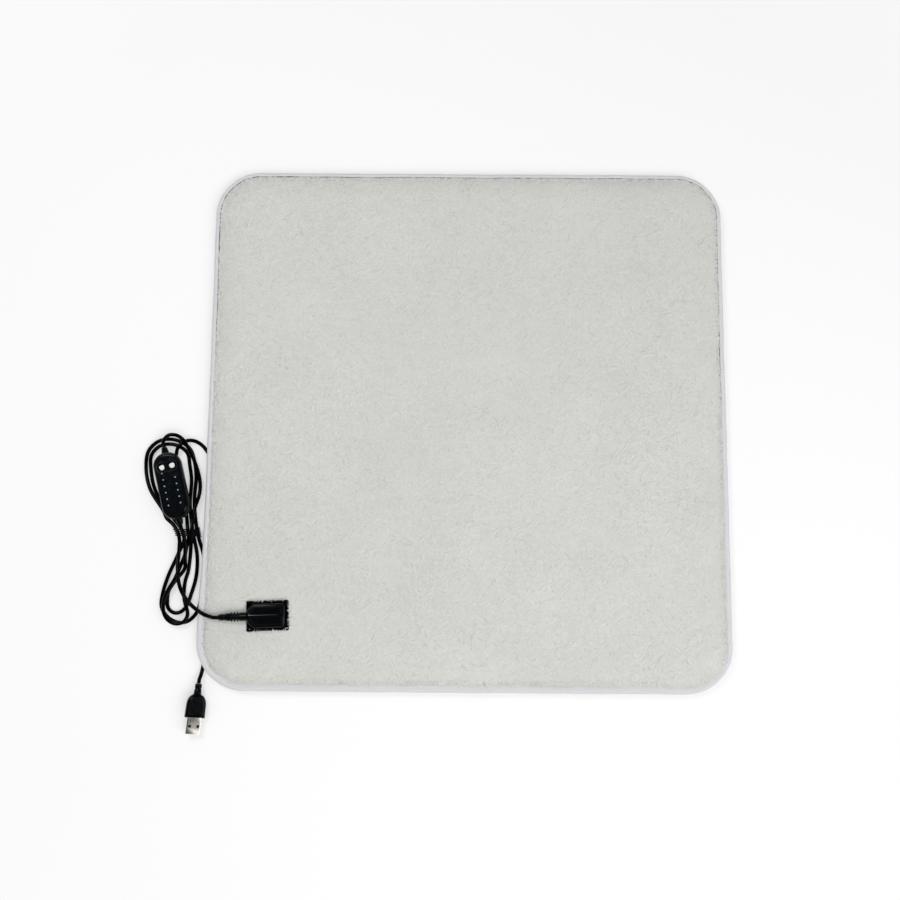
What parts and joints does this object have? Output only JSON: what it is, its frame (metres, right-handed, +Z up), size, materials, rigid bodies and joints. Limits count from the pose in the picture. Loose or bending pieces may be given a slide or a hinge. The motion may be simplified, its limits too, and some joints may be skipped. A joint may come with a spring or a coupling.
{
  "type": "heating pad",
  "caption": "Square plush heating pad with bound edge, plug-in lead at one corner, hand controller with two buttons, tied cord hank and USB plug.",
  "frame": {"origin": "middle of the pad's outline, on the surface that the pad lies on", "axes": "+X to the pad's right with the lead at the lower left, +Y to its upper edge, +Z up"},
  "size_m": [0.5053, 0.4918, 0.0217],
  "materials": {
    "plush": "deep pale grey pile",
    "binding": "woven white tape",
    "cloth": "plain woven",
    "wadding": "soft felt",
    "wire": "silicone insulation",
    "light_plastic": "matt",
    "cord": "satin black",
    "lens": "smoked clear",
    "contact": "bright",
    "steel": "plated",
    "shell": "bright nickel",
    "board": "solder mask",
    "button": "high gloss black",
    "housing": "satin black"
  },
  "bodies": {
    "pad": {"plush_top": "plush", "upper_felt": "wadding", "wadding": "wadding", "heater_carrier": "cloth", "heating_wire": "wire", "supply_lead": "wire", "return_lead_upper": "wire", "return_lead_lower": "wire", "thermal_cutout": "light_plastic", "base_cloth": "cloth", "edge_binding": "binding", "socket_tray": "housing", "socket_backplate": "housing", "socket_screw_1": "steel", "socket_screw_2": "steel", "socket_screw_3": "steel", "socket_screw_4": "steel", "contact_pin_1": "contact", "contact_pin_2": "contact"},
    "cord_set": {"cable_tie": "housing", "case_screw_1": "steel", "case_screw_2": "steel", "controller_board": "board", "controller_boot_bottom": "cord", "controller_boot_top": "cord", "controller_bottom_case": "housing", "controller_cord": "cord", "controller_panel": "housing", "controller_top_case": "housing", "cord_hank": "cord", "indicator_lens_01": "lens", "indicator_lens_02": "lens", "indicator_lens_03": "lens", "indicator_lens_04": "lens", "indicator_lens_05": "lens", "indicator_lens_06": "lens", "indicator_lens_07": "lens", "indicator_lens_08": "lens", "indicator_lens_09": "lens", "indicator_lens_10": "lens", "indicator_lens_11": "lens", "plug_base": "housing", "plug_boot": "cord", "plug_contact_1": "contact", "plug_contact_2": "contact", "plug_cord": "cord", "plug_cover": "housing", "tact_switch_left": "steel", "tact_switch_right": "steel", "usb_boot": "cord", "usb_contact_1": "contact", "usb_contact_2": "contact", "usb_cord": "cord", "usb_grip": "housing", "usb_shell": "shell", "usb_tongue": "light_plastic"},
    "left_button": {"button_left": "button"},
    "right_button": {"button_right": "button"}
  },
  "joints": [
    {"name": "unplug", "type": "slide", "parent": "pad", "child": "cord_set", "axis": [-0.999, -0.0436, 0], "range_m": [0, 0.012]},
    {"name": "left_press", "type": "slide", "parent": "cord_set", "child": "left_button", "axis": [0, 0, -1], "range_m": [0, 0.0004], "stiffness_N_per_m": 500},
    {"name": "right_press", "type": "slide", "parent": "cord_set", "child": "right_button", "axis": [0, 0, -1], "range_m": [0, 0.0004], "stiffness_N_per_m": 500}
  ]
}
